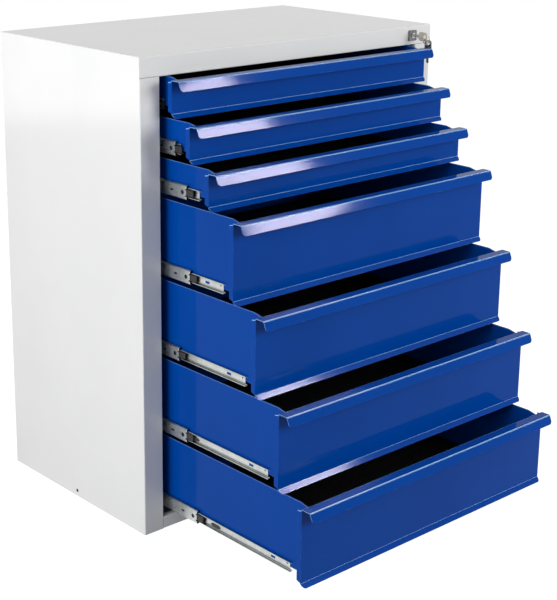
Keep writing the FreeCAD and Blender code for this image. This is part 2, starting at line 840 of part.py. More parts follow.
def lock_bar():
    """Strip behind the right stile, with an arm to the cam and a hook for every drawer welded behind it."""
    body = new_body("lock_bar", ("0", BAR_FACE, "0"))
    pin_side = f"(lock_side + {CRANK})"
    pin_level = f"(lock_level - {CRANK})"
    far_side = "bar_side + bar_width"
    strip = rectangle(new_sketch(body, "XZ"), ("bar_side", "bar_foot"),
                      (far_side, f"{pin_level} + arm_height/2"))
    pad(body, strip, "bar_sheet", backwards=True)
    behind = "-bar_sheet - weld_gap"
    plates = new_sketch(body, "XZ", behind)
    for number in DRAWERS:
        low = f"({flange_level(number)} - hook_drop)"
        rectangle(plates, ("bar_side - hook_reach", low), (far_side, f"{low} + hook_height"))
    rectangle(plates, ("lock_side - 1", f"{pin_level} - arm_height/2"),
              (far_side, f"{pin_level} + arm_height/2"))
    pad(body, plates, "bar_sheet", backwards=True)
    play = "(pin_radius + slot_play)"
    slot = rectangle(new_sketch(body, "XZ", f"bar_sheet {behind}"),
                     (f"{pin_side} - {play}", f"{pin_level} - {play}"),
                     (f"lock_side + crank_radius + {play}", f"{pin_level} + {play}"))
    pocket(body, slot, "3*bar_sheet")
    return body


def lock_bar_guides():
    """Straps on the right front upright that the bar slides in."""
    body = new_body("lock_bar_guides")
    inner = "(bar_side - guide_play)"
    outer = "(bar_side + bar_width + guide_play)"
    wall = f"({FRONT} + upright_setback)"
    face = f"({BAR_FACE} - guide_gap)"
    plan = [
        (f"{inner} - guide_sheet", wall),
        (f"{inner} - guide_sheet", f"{face} - guide_sheet"),
        (f"{outer} + guide_sheet", f"{face} - guide_sheet"),
        (f"{outer} + guide_sheet", wall),
        (outer, wall),
        (outer, face),
        (inner, face),
        (inner, wall),
    ]
    for level in GUIDE_LEVELS:
        pad(body, polygon(new_sketch(body, "XY", str(level)), plan), "guide_height")
    return body


# assembly

def build():
    pieces = [
        side_panel("side_panel_left", -1),
        side_panel("side_panel_right", 1),
        top_panel(),
        bottom_panel(),
        back_panel(),
    ]
    for near_name, near in (("front", f"{FRONT} + upright_setback"), ("rear", "upright_rear")):
        for side_name, side in (("left", -1), ("right", 1)):
            pieces.append(upright(f"upright_{near_name}_{side_name}", side, near))
    pieces.append(cabinet_members())
    for number in DRAWERS:
        for make in (drawer_front, drawer_box, drawer_members, middle_members, slide_bumpers, release_levers):
            pieces.append(make(number))
    pieces += [lock_housing(), lock_cylinder(), lock_cam(), lock_key(), key_ring(), spare_key(),
               lock_bar(), lock_bar_guides()]
    return pieces


def write(pieces):
    """Check the whole document, then write one file for every sub-part."""
    doc.recompute()
    for item in doc.Objects:
        if {"Invalid", "Error"} & set(item.State):
            raise RuntimeError(f"{item.Label} is {item.State}")
    for piece in pieces:
        if piece.Shape.isNull() or not piece.Shape.isValid():
            raise RuntimeError(f"{piece.Label} has no valid shape")
    os.makedirs("parts", exist_ok=True)
    for piece in pieces:
        piece.Shape.exportStep(f"parts/{piece.Label}.step")
        print(piece.Label, len(piece.Shape.Solids), "solids", round(piece.Shape.Volume / 1000, 1), "cm3")


write(build())
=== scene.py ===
import json
import math

import bmesh
import bpy
from mathutils import Matrix, Vector

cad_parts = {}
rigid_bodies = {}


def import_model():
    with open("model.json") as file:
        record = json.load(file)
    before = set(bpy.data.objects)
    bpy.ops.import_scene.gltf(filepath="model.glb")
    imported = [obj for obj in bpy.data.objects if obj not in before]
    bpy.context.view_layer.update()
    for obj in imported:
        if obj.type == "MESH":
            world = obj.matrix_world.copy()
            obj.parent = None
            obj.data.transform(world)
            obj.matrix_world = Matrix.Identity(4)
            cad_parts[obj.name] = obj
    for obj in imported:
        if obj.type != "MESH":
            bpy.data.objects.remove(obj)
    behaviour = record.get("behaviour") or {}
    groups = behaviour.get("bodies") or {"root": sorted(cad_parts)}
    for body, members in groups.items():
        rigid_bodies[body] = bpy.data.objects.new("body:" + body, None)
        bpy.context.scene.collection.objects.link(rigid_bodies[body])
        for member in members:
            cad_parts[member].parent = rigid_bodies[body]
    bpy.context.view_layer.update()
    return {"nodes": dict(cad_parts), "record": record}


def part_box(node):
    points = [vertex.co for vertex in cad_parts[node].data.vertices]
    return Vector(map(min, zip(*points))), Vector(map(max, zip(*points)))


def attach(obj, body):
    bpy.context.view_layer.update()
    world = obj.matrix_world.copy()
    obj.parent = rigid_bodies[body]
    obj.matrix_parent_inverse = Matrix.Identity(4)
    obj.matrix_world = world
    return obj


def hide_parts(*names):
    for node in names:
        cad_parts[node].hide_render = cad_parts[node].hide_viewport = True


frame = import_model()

nodes = frame["nodes"]
bodies = frame["record"]["behaviour"]["bodies"]
bodyOfNode = {name: body for body, names in bodies.items() for name in names}

cameraSettings = {
    "place": (-2.0290, -2.3696, 1.3897),
    "right": (0.75146, -0.65975, 0.00625),
    "down": (-0.17048, -0.20331, -0.96416),
    "focalPixels": 1407.9,       # focal length in pixels of the frame below
    "centre": (240.0, 232.0),    # where the optical axis meets that frame
    "frame": (557, 600),
    "sensor": 36,
    "clip": (0.05, 60),
}


def placeCamera(s):
    right = Vector(s["right"]).normalized()
    up = -Vector(s["down"]).normalized()
    back = right.cross(up).normalized()
    up = back.cross(right)
    camera = bpy.data.objects.new("viewCamera", bpy.data.cameras.new("viewCamera"))
    bpy.context.scene.collection.objects.link(camera)
    camera.matrix_world = Matrix((
        (right.x, up.x, back.x, s["place"][0]),
        (right.y, up.y, back.y, s["place"][1]),
        (right.z, up.z, back.z, s["place"][2]),
        (0, 0, 0, 1)))
    wide, tall = s["frame"]
    camera.data.sensor_width = s["sensor"]
    camera.data.lens = s["focalPixels"] * s["sensor"] / max(wide, tall)
    camera.data.shift_x = (wide / 2 - s["centre"][0]) / max(wide, tall)
    camera.data.shift_y = (s["centre"][1] - tall / 2) / max(wide, tall)
    camera.data.clip_start, camera.data.clip_end = s["clip"]
    bpy.context.scene.camera = camera


placeCamera(cameraSettings)
bpy.context.scene.view_settings.view_transform = "Standard"
print("camera placed")


def newGroup(name, inputs, outputs):
    group = bpy.data.node_groups.new(name, "ShaderNodeTree")
    for direction, labels in (("INPUT", inputs), ("OUTPUT", outputs)):
        for label in labels:
            group.interface.new_socket(label, in_out=direction, socket_type="NodeSocketFloat")
    return group, group.nodes.new("NodeGroupInput"), group.nodes.new("NodeGroupOutput")


class Wiring:
    # adds nodes to a tree and joins them
    def __init__(self, tree):
        self.tree = tree

    def add(self, kind, values=(), **settings):
        node = self.tree.nodes.new(kind)
        for key, value in settings.items():
            setattr(node, key, value)
        for key, value in dict(values).items():
            self.feed(node, key, value)
        return node

    def feed(self, node, key, value):
        if isinstance(value, bpy.types.NodeSocket):
            self.tree.links.new(value, node.inputs[key])
        else:
            node.inputs[key].default_value = value

    def math(self, operation, a, b=0.0, clamp=False):
        node = self.add("ShaderNodeMath", {0: a, 1: b}, operation=operation, use_clamp=clamp)
        return node.outputs[0]

    def vector(self, x=0.0, y=0.0, z=0.0):
        return self.add("ShaderNodeCombineXYZ", {0: x, 1: y, 2: z}).outputs[0]

    def ramp(self, value, low, high, start=0.0, end=1.0):
        node = self.add("ShaderNodeMapRange", {"Value": value, "From Min": low, "From Max": high,
                                               "To Min": start, "To Max": end})
        return node.outputs["Result"]

    def noise(self, place, scale, detail, roughness=0.5):
        return self.add("ShaderNodeTexNoise", {"Vector": place, "Scale": scale, "Detail": detail,
                                               "Roughness": roughness}).outputs["Fac"]

    def mix(self, factor, a, b):
        node = self.add("ShaderNodeMix", {0: factor, 6: a, 7: b}, data_type="RGBA")
        return node.outputs[2]

    def group(self, tree, values):
        return self.add("ShaderNodeGroup", values, node_tree=tree).outputs


edgeSettings = {
    "samples": 6,
    "wear": (0.985, 0.86),        # cosine of the angle between the plain and the rounded normal
    "patchDetail": 6.0,
    "patchRoughness": 0.65,
    "patches": (0.5, 0.68),
    "crease": (0.03, 0.11),       # how much more the rounded normal faces up than the plain one
    "crownFoot": (0.745, 0.79),   # the plain normal's Z where a crown starts
    "crownTop": (0.995, 0.97),    # and where it ends
}


def makeEdgeWearAndHighlight(s):
    # wear on the edges, and a painted highlight on folds that lie level
    group, given, result = newGroup("edgeWear", ("Radius", "Patch Scale", "Amount"),
                                    ("Mask", "Fold"))
    w = Wiring(group)
    g = given.outputs
    rounded = w.add("ShaderNodeBevel", {"Radius": g["Radius"]}, samples=s["samples"]).outputs[0]
    plain = w.add("ShaderNodeNewGeometry").outputs["Normal"]
    turn = w.add("ShaderNodeVectorMath", {0: rounded, 1: plain}, operation="DOT_PRODUCT")
    edge = w.ramp(turn.outputs["Value"], *s["wear"])
    place = w.add("ShaderNodeTexCoord").outputs["Object"]
    patches = w.noise(place, g["Patch Scale"], s["patchDetail"], s["patchRoughness"])
    worn = w.math("MULTIPLY", edge, w.ramp(patches, *s["patches"]))
    w.feed(result, "Mask", w.math("MULTIPLY", worn, g["Amount"], clamp=True))
    # painted highlight on folds that lie level, the crease above a ledge and the crown of a
    # flange, where light from above catches the bend
    roundedZ = w.add("ShaderNodeSeparateXYZ", {0: rounded}).outputs["Z"]
    plainZ = w.add("ShaderNodeSeparateXYZ", {0: plain}).outputs["Z"]
    crease = w.ramp(w.math("SUBTRACT", roundedZ, plainZ), *s["crease"])
    crown = w.math("MULTIPLY", w.ramp(plainZ, *s["crownFoot"]), w.ramp(plainZ, *s["crownTop"]))
    w.feed(result, "Fold", w.math("MAXIMUM", crease, crown))
    return group


peelSettings = {
    "coarseDetail": 1.0,
    "fineDetail": 2.0,
    "fineScale": 3.1,      # times the coarse grain's scale
}


def makeOrangePeel(s):
    group, given, result = newGroup("orangePeel", ("Scale", "Fine Share"), ("Height",))
    w = Wiring(group)
    g = given.outputs
    place = w.add("ShaderNodeTexCoord").outputs["Object"]
    coarse = w.noise(place, g["Scale"], s["coarseDetail"])
    fine = w.noise(place, w.math("MULTIPLY", g["Scale"], s["fineScale"]), s["fineDetail"])
    share = w.math("MULTIPLY", fine, g["Fine Share"])
    w.feed(result, "Height", w.math("ADD", coarse, share))
    return group


handlingSettings = {
    "smudgeDetail": 5.0,
    "smudgeRoughness": 0.6,
    "level": (0.6, 1.0),   # the normal's Z where dust starts to lie, and where it lies in full
    "speckScale": 900.0,
    "speckDetail": 4.0,
    "speckRoughness": 0.7,
    "specks": (0.52, 0.75),
}


def makeHandling(s):
    # soft smudges over hand-sized areas, and faint dust on what faces up
    group, given, result = newGroup("handling", ("Scale", "Dust"), ("Smudge", "Dust Mask"))
    w = Wiring(group)
    g = given.outputs
    place = w.add("ShaderNodeTexCoord").outputs["Object"]
    w.feed(result, "Smudge", w.noise(place, g["Scale"], s["smudgeDetail"], s["smudgeRoughness"]))
    up = w.add("ShaderNodeSeparateXYZ", {0: w.add("ShaderNodeNewGeometry").outputs["Normal"]})
    level = w.ramp(up.outputs["Z"], *s["level"])
    specks = w.noise(place, s["speckScale"], s["speckDetail"], s["speckRoughness"])
    settled = w.math("MULTIPLY", level, w.ramp(specks, *s["specks"]))
    w.feed(result, "Dust Mask", w.math("MULTIPLY", settled, g["Dust"], clamp=True))
    return group


grainSettings = {
    "stretch": (1.0, 0.03, 1.0),   # long along Y, the sheet's rolling direction
    "detail": 2.0,
}


def makeRolledGrain(s):
    # fine lines, and a faint zinc mottle
    group, given, result = newGroup("rolledGrain", ("Across", "Mottle"), ("Lines", "Mottle"))
    w = Wiring(group)
    g = given.outputs
    place = w.add("ShaderNodeTexCoord").outputs["Object"]
    stretched = w.add("ShaderNodeVectorMath", {0: place, 1: s["stretch"]}, operation="MULTIPLY")
    w.feed(result, "Lines", w.noise(stretched.outputs[0], g["Across"], s["detail"]))
    cells = w.add("ShaderNodeTexVoronoi", {"Vector": place, "Scale": g["Mottle"]}, feature="F1")
    shade = w.add("ShaderNodeSeparateColor", {0: cells.outputs["Color"]})
    w.feed(result, "Mottle", shade.outputs[0])
    return group


edgeWear = makeEdgeWearAndHighlight(edgeSettings)
orangePeel = makeOrangePeel(peelSettings)
handling = makeHandling(handlingSettings)
rolledGrain = makeRolledGrain(grainSettings)


def newMaterial(name, sockets):
    material = bpy.data.materials.new(name)
    material.use_nodes = True
    shader = material.node_tree.nodes["Principled BSDF"]
    for label, value in sockets.items():
        shader.inputs[label].default_value = value
    return material, Wiring(material.node_tree), shader


def addBump(w, shader, height, strength, distance):
    bump = w.add("ShaderNodeBump", {"Strength": strength, "Distance": distance, "Height": height})
    w.feed(shader, "Normal", bump.outputs[0])


paintSettings = {
    "refraction": 1.5,
    "smudgeScale": 5.0,
    "smudges": (0.3, 0.7),
    "dust": 0.22,
    "edgeRadius": 0.0021,
    "patchScale": 70.0,
    "roughnessSpread": 0.05,
    "peelScale": 430.0,
    "peelFine": 0.25,
    "peelDepth": 0.0004,
}
casingFinish = {
    "paint": (0.750, 0.755, 0.750, 1),
    "shaded": (0.724, 0.730, 0.726, 1),
    "underPaint": (0.42, 0.42, 0.41, 1),
    "dust": (0.62, 0.60, 0.56, 1),
    # colour of the painted highlight on lying folds
    "foldHighlight": (0.84, 0.84, 0.84, 1),
    "glossTint": (1, 1, 1, 1),
    "gloss": 0.45,
    "roughness": 0.10,
    "peel": 0.02,
    "wear": 0.5,
    "highlightShare": 0.5,            # how strongly the painted highlight shows on a lying fold
}
drawerFinish = {
    "paint": (0.0003, 0.055, 0.330, 1),
    "shaded": (0.0002, 0.049, 0.297, 1),
    "underPaint": (0.20, 0.23, 0.27, 1),
    "dust": (0.20, 0.25, 0.34, 1),
    # colour of the painted highlight on lying folds
    "foldHighlight": (0.42, 0.70, 1.00, 1),
    "glossTint": (0.85, 0.80, 1, 1),
    "gloss": 0.05,
    "roughness": 0.05,
    "peel": 0.012,
    "wear": 0.3,
    "highlightShare": 0.95,
}
boxFinish = dict(drawerFinish, highlightShare=0.25)


def makePaint(name, finish, s):
    material, w, shader = newMaterial(name, {
        "IOR": s["refraction"], "Specular IOR Level": finish["gloss"],
        "Specular Tint": finish["glossTint"]})
    care = w.group(handling, {"Scale": s["smudgeScale"], "Dust": s["dust"]})
    edges = w.group(edgeWear, {"Radius": s["edgeRadius"], "Patch Scale": s["patchScale"],
                               "Amount": finish["wear"]})
    colour = w.mix(w.ramp(care["Smudge"], *s["smudges"]), finish["paint"], finish["shaded"])
    colour = w.mix(care["Dust Mask"], colour, finish["dust"])
    # painted highlight: lying folds are lightened towards a paler colour, standing in for light
    # caught by the bends
    highlight = w.math("MULTIPLY", edges["Fold"], finish["highlightShare"])
    colour = w.mix(highlight, colour, finish["foldHighlight"])
    w.feed(shader, "Base Color", w.mix(edges["Mask"], colour, finish["underPaint"]))
    clean = finish["roughness"]
    handled = clean + s["roughnessSpread"]
    w.feed(shader, "Roughness", w.ramp(care["Smudge"], *s["smudges"], clean, handled))
    peel = w.group(orangePeel, {"Scale": s["peelScale"], "Fine Share": s["peelFine"]})["Height"]
    addBump(w, shader, peel, finish["peel"], s["peelDepth"])
    return material


zincSettings = {
    "bright": (0.66, 0.685, 0.67, 1),
    "dull": (0.56, 0.585, 0.57, 1),
    "smudged": (0.46, 0.48, 0.47, 1),
    "smudgeScale": 14.0,
    "smudges": (0.45, 0.8),
    # painted shade: the colour the zinc darkens to in recesses
    "recessShade": (0.05, 0.055, 0.055, 1),
    "shadeReach": 0.009,
    "shadeSamples": 8,
    "openness": (0.42, 0.92),    # from the full painted shade in a recess to an open face
    "lines": (0.25, 0.75),
    "roughness": (0.24, 0.40),
    "grainScale": 800.0,
    "mottleScale": 160.0,
    "grainStrength": 0.12,
    "grainDepth": 0.0002,
}


def makeZinc(s):
    material, w, shader = newMaterial("zincSteel", {"Metallic": 1.0})
    grain = w.group(rolledGrain, {"Across": s["grainScale"], "Mottle": s["mottleScale"]})
    smudge = w.group(handling, {"Scale": s["smudgeScale"]})["Smudge"]
    # painted shade: ambient occlusion finds the recesses, and the zinc there is darkened towards
    # near black
    openness = w.add("ShaderNodeAmbientOcclusion", {"Distance": s["shadeReach"]},
                     samples=s["shadeSamples"]).outputs["AO"]
    colour = w.mix(grain["Mottle"], s["dull"], s["bright"])
    colour = w.mix(w.ramp(smudge, *s["smudges"]), colour, s["smudged"])
    colour = w.mix(w.ramp(openness, *s["openness"]), s["recessShade"], colour)
    w.feed(shader, "Base Color", colour)
    w.feed(shader, "Roughness", w.ramp(grain["Lines"], *s["lines"], *s["roughness"]))
    addBump(w, shader, grain["Lines"], s["grainStrength"], s["grainDepth"])
    return material


mouldedSettings = {
    "refraction": 1.49,
    "smudgeScale": 30.0,
    "smudges": (0.3, 0.7),
    "roughnessSpread": 0.14,
    "grainFine": 0.6,
    "grainStrength": 0.25,
    "grainDepth": 0.0002,
}
mouldedFinishes = {
    "black_plastic": {"name": "blackPlastic", "dark": (0.012, 0.012, 0.013, 1),
                      "light": (0.028, 0.028, 0.030, 1), "roughness": 0.38, "grain": 1500.0},
    "black_rubber": {"name": "blackRubber", "dark": (0.006, 0.006, 0.006, 1),
                     "light": (0.013, 0.013, 0.014, 1), "roughness": 0.72, "grain": 700.0},
}


def makeMoulded(finish, s):
    material, w, shader = newMaterial(finish["name"], {"IOR": s["refraction"]})
    smudge = w.group(handling, {"Scale": s["smudgeScale"]})["Smudge"]
    w.feed(shader, "Base Color", w.mix(smudge, finish["dark"], finish["light"]))
    clean = finish["roughness"]
    handled = clean + s["roughnessSpread"]
    w.feed(shader, "Roughness", w.ramp(smudge, *s["smudges"], clean, handled))
    grain = w.group(orangePeel, {"Scale": finish["grain"], "Fine Share": s["grainFine"]})["Height"]
    addBump(w, shader, grain, s["grainStrength"], s["grainDepth"])
    return material


platedSettings = {
    "smudgeScale": 90.0,
    "smudges": (0.3, 0.7),
    "dullPatches": (0.35, 0.7),
    "edgeRadius": 0.0006,
    "patchScale": 400.0,
    "wear": 0.5,
    "scratchScale": 2600.0,
    "scratchStrength": 0.06,
    "scratchDepth": 0.0001,
}
platedFinishes = {
    "bright_chrome": {"name": "brightChrome", "bright": (0.66, 0.67, 0.68, 1),
                      "dull": (0.50, 0.51, 0.52, 1), "roughness": (0.05, 0.16)},
    "dark_chrome": {"name": "darkChrome", "bright": (0.20, 0.20, 0.21, 1),
                    "dull": (0.14, 0.14, 0.15, 1), "roughness": (0.06, 0.15)},
    "key_nickel": {"name": "keyNickel", "bright": (0.62, 0.57, 0.50, 1),
                   "dull": (0.44, 0.39, 0.33, 1), "roughness": (0.18, 0.34)},
}


def makePlated(finish, s):
    material, w, shader = newMaterial(finish["name"], {"Metallic": 1.0})
    smudge = w.group(handling, {"Scale": s["smudgeScale"]})["Smudge"]
    worn = w.group(edgeWear, {"Radius": s["edgeRadius"], "Patch Scale": s["patchScale"],
                              "Amount": s["wear"]})["Mask"]
    colour = w.mix(w.ramp(smudge, *s["dullPatches"]), finish["bright"], finish["dull"])
    w.feed(shader, "Base Color", w.mix(worn, colour, finish["dull"]))
    w.feed(shader, "Roughness", w.ramp(smudge, *s["smudges"], *finish["roughness"]))
    scratches = w.group(rolledGrain, {"Across": s["scratchScale"]})["Lines"]
    addBump(w, shader, scratches, s["scratchStrength"], s["scratchDepth"])
    return material


finishes = {
    "casing_paint": makePaint("casingPaint", casingFinish, paintSettings),
    "drawer_paint": makePaint("drawerPaint", drawerFinish, paintSettings),
    "box_paint": makePaint("boxPaint", boxFinish, paintSettings),
    "zinc_steel": makeZinc(zincSettings),
}
for slot, finish in mouldedFinishes.items():
    finishes[slot] = makeMoulded(finish, mouldedSettings)
for slot, finish in platedFinishes.items():
    finishes[slot] = makePlated(finish, platedSettings)

slotByPiece = {
    "side_panel": "casing_paint", "top_panel": "casing_paint", "bottom_panel": "casing_paint",
    "back_panel": "casing_paint", "upright": "zinc_steel", "cabinet_members": "zinc_steel",
    "lock_bar": "zinc_steel", "drawer_front": "drawer_paint", "drawer_box": "drawer_paint",
    "drawer_members": "zinc_steel", "middle_members": "zinc_steel",
    "release_levers": "black_plastic", "slide_bumpers": "black_plastic",
    "lock_housing": "bright_chrome", "lock_cylinder": "bright_chrome", "lock_cam": "zinc_steel",
    "lock_key": "key_nickel", "key_ring": "bright_chrome", "spare_key": "key_nickel",
}
finishByPiece = {"lock_housing": "dark_chrome", "drawer_box": "box_paint"}
slotOfNode = {name: next(slot for start, slot in slotByPiece.items() if name.startswith(start))
              for name in nodes}
print("finishes made:", len(finishes))

bendSettings = {
    "bend": 0.0018,        # outside radius of a fold
    "cutEdge": 0.17,       # a cut edge's share of that radius
    "insideBend": 0.15,    # an inside corner's share
    "segments": 2,
    "broadFace": 0.0035,   # a face narrower than this is a cut edge
    "foldAngle": 28.0,
    "flatAngle": 0.6,      # faces that meet at less than this are one
    "mergeReach": 2e-6,
    "shortEdge": 1e-6,
    "normalWeight": 80,
}


def reachFrom(face, edge):
    start = edge.verts[0].co
    along = (edge.verts[1].co - start).normalized()
    return max(((v.co - start) - along * (v.co - start).dot(along)).length for v in face.verts)


def weighEdges(mesh, s):
    weight = mesh.edges.layers.float.new("bevel_weight_edge")
    for edge in mesh.edges:
        if len(edge.link_faces) != 2 or edge.calc_length() < s["shortEdge"]:
            continue
        if edge.calc_face_angle(0) < math.radians(s["foldAngle"]):
            continue
        broad = all(reachFrom(face, edge) > s["broadFace"] for face in edge.link_faces)
        if not broad:
            edge[weight] = s["cutEdge"]
        elif edge.is_convex:
            edge[weight] = 1.0
        else:
            edge[weight] = s["insideBend"]


def bakedMesh(piece):
    graph = bpy.context.evaluated_depsgraph_get()
    baked = bpy.data.meshes.new_from_object(piece.evaluated_get(graph), depsgraph=graph)
    old = piece.data
    piece.modifiers.clear()
    piece.data = baked
    bpy.data.meshes.remove(old)


def finishedCopy(nodeName, s):
    # a merged copy of a CAD piece with its folds and cut edges rounded
    pieceName = nodeName + "_finished"
    mesh = bpy.data.meshes.new(pieceName)
    work = bmesh.new()
    work.from_mesh(nodes[nodeName].data)
    bmesh.ops.remove_doubles(work, verts=work.verts, dist=s["mergeReach"])
    bmesh.ops.dissolve_limit(work, angle_limit=math.radians(s["flatAngle"]), verts=work.verts,
                             edges=work.edges, use_dissolve_boundaries=False)
    weighEdges(work, s)
    for face in work.faces:
        face.smooth = True
        face.material_index = 0
    work.to_mesh(mesh)
    work.free()
    piece = bpy.data.objects.new(pieceName, mesh)
    bpy.context.scene.collection.objects.link(piece)
    own = (finish for start, finish in finishByPiece.items() if nodeName.startswith(start))
    mesh.materials.append(finishes[next(own, slotOfNode[nodeName])])
    rounding = piece.modifiers.new("rounding", "BEVEL")
    rounding.limit_method = "WEIGHT"
    rounding.width = s["bend"]
    rounding.segments = s["segments"]
    rounding.use_clamp_overlap = True
    rounding.harden_normals = False
    rounding.miter_outer = "MITER_ARC"
    normals = piece.modifiers.new("normals", "WEIGHTED_NORMAL")
    normals.keep_sharp = False
    normals.weight = s["normalWeight"]
    bakedMesh(piece)
    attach(piece, bodyOfNode[nodeName])
    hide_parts(nodeName)


for nodeName in sorted(nodes):
    finishedCopy(nodeName, bendSettings)
print("pieces rounded:", len(nodes))

drawerCount = 7


def newTree(name, inputs):
    tree = bpy.data.node_groups.new(name, "GeometryNodeTree")
    for label, kind in inputs.items():
        tree.interface.new_socket(label, in_out="INPUT", socket_type="NodeSocket" + kind)
    tree.interface.new_socket("Geometry", in_out="OUTPUT", socket_type="NodeSocketGeometry")
    return tree, tree.nodes.new("NodeGroupInput"), tree.nodes.new("NodeGroupOutput")


def finishTree(w, result, given, geometry):
    real = w.add("GeometryNodeRealizeInstances", {"Geometry": geometry})
    done = w.add("GeometryNodeSetMaterial", {"Geometry": real.outputs[0],
                                             "Material": given.outputs["Material"]})
    w.feed(result, "Geometry", done.outputs[0])


def grownPiece(name, tree, values):
    piece = bpy.data.objects.new(name, bpy.data.meshes.new(name))
    bpy.context.scene.collection.objects.link(piece)
    grow = piece.modifiers.new("grow", "NODES")
    grow.node_group = tree
    for item in tree.interface.items_tree:
        if item.in_out == "INPUT" and item.name in values:
            grow[item.identifier] = values[item.name]
    bakedMesh(piece)
    piece.data.materials.clear()    # one slot only, whatever the tree leaves
    piece.data.materials.append(values["Material"])
    piece.data.polygons.foreach_set("material_index", [0] * len(piece.data.polygons))
    return piece


matSettings = {
    "sideGap": 0.0022,
    "endGap": 0.002,
    "boxSheet": 0.001,
    "level": 0.00102,      # the mat's underside above the box's underside
    "sheet": 0.0016,
    "ribPitch": 0.0066,
    "ribWidth": 0.0030,
    "ribHeight": 0.0008,
}


def makeMatTree():
    tree, given, result = newTree("ribbedMat", {
        "Middle": "Vector", "Width": "Float", "Depth": "Float", "Sheet": "Float",
        "Rib Pitch": "Float", "Rib Width": "Float", "Rib Height": "Float",
        "Material": "Material"})
    w = Wiring(tree)
    g = given.outputs
    sheet = w.add("GeometryNodeMeshCube", {"Size": w.vector(g["Width"], g["Depth"], g["Sheet"])})
    halfSheet = w.math("MULTIPLY", g["Sheet"], 0.5)
    lifted = w.add("GeometryNodeTransform", {"Geometry": sheet.outputs[0],
                                             "Translation": w.vector(z=halfSheet)})
    ribRoom = w.math("SUBTRACT", g["Width"], g["Rib Width"])
    count = w.math("FLOOR", w.math("DIVIDE", ribRoom, g["Rib Pitch"]))
    span = w.math("MULTIPLY", count, g["Rib Pitch"])
    ribLevel = w.math("ADD", g["Sheet"], w.math("MULTIPLY", g["Rib Height"], 0.5))
    line = w.add("GeometryNodeMeshLine", {
        "Count": w.math("ADD", count, 1.0),
        "Start Location": w.vector(w.math("MULTIPLY", span, -0.5), z=ribLevel),
        "Offset": w.vector(g["Rib Pitch"])})
    rib = w.add("GeometryNodeMeshCube", {
        "Size": w.vector(g["Rib Width"], g["Depth"], g["Rib Height"])})
    ribs = w.add("GeometryNodeInstanceOnPoints", {"Points": line.outputs[0],
                                                  "Instance": rib.outputs[0]})
    both = w.add("GeometryNodeJoinGeometry")
    tree.links.new(lifted.outputs[0], both.inputs[0])
    tree.links.new(ribs.outputs[0], both.inputs[0])
    placed = w.add("GeometryNodeTransform", {"Geometry": both.outputs[0],
                                             "Translation": g["Middle"]})
    finishTree(w, result, given, placed.outputs[0])
    return tree


# a black ribbed rubber mat in each drawer: a real accessory, whose black also stands in for the
# shade deep inside the drawers
def makeMats(s):
    tree = makeMatTree()
    for number in range(1, drawerCount + 1):
        low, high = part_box(f"drawer_box_{number}")
        mat = grownPiece(f"drawer_mat_{number}", tree, {
            "Middle": ((low.x + high.x) / 2, (low.y + high.y) / 2, low.z + s["level"]),
            "Width": high.x - low.x - 2 * s["boxSheet"] - 2 * s["sideGap"],
            "Depth": high.y - low.y - 2 * s["endGap"],
            "Sheet": s["sheet"], "Rib Pitch": s["ribPitch"], "Rib Width": s["ribWidth"],
            "Rib Height": s["ribHeight"], "Material": finishes["black_rubber"]})
        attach(mat, f"drawer_{number}")


makeMats(matSettings)
print("mats laid in the drawers")

raceSettings = {
    "pitch": 0.0085,
    "count": 12,
    "cageSheet": 0.0005,
    # between the drawer and middle members, inset from the middle member's front end
    "inner": {"ball": 0.0015, "across": 0.3489, "inset": 0.016, "rise": 0.01165,
              "cageShift": 0.0034},
    # between the middle and casing members, inset from its back end
    "outer": {"ball": 0.0011, "across": 0.3515, "inset": 0.125, "rise": 0.01565,
              "cageShift": 0.0042},
}


def makeRaceTree():
    tree, given, result = newTree("ballRace", {
        "Start": "Vector", "Pitch": "Float", "Count": "Int", "Ball Radius": "Float",
        "Rise": "Float", "Cage Shift": "Float", "Cage Sheet": "Float", "Material": "Material"})
    w = Wiring(tree)
    g = given.outputs
    ball = w.add("GeometryNodeMeshIcoSphere", {"Radius": g["Ball Radius"], "Subdivisions": 2})
    step = w.vector(y=g["Pitch"])
    both = w.add("GeometryNodeJoinGeometry")
    for sign in (1.0, -1.0):
        shift = w.vector(z=w.math("MULTIPLY", g["Rise"], sign))
        start = w.add("ShaderNodeVectorMath", {0: g["Start"], 1: shift}, operation="ADD")
        line = w.add("GeometryNodeMeshLine", {"Count": g["Count"], "Offset": step,
                                              "Start Location": start.outputs[0]})
        balls = w.add("GeometryNodeInstanceOnPoints", {"Points": line.outputs[0],
                                                       "Instance": ball.outputs[0]})
        tree.links.new(balls.outputs[0], both.inputs[0])
    long = w.math("MULTIPLY", g["Pitch"], g["Count"])
    tall = w.math("MULTIPLY", g["Rise"], 2.0)
    cage = w.add("GeometryNodeMeshCube", {"Size": w.vector(g["Cage Sheet"], long, tall)})
    middle = w.math("MULTIPLY", w.math("SUBTRACT", long, g["Pitch"]), 0.5)
    shift = w.vector(g["Cage Shift"], middle)
    place = w.add("ShaderNodeVectorMath", {0: g["Start"], 1: shift}, operation="ADD")
    moved = w.add("GeometryNodeTransform", {"Geometry": cage.outputs[0],
                                            "Translation": place.outputs[0]})
    tree.links.new(moved.outputs[0], both.inputs[0])
    finishTree(w, result, given, both.outputs[0])
    return tree


def joinPieces(name, parts):
    work = bmesh.new()
    material = parts[0].data.materials[0]
    for part in parts:
        work.from_mesh(part.data)
        bpy.data.objects.remove(part)
    mesh = bpy.data.meshes.new(name)
    work.to_mesh(mesh)
    work.free()
    mesh.materials.append(material)
    piece = bpy.data.objects.new(name, mesh)
    bpy.context.scene.collection.objects.link(piece)
    return piece


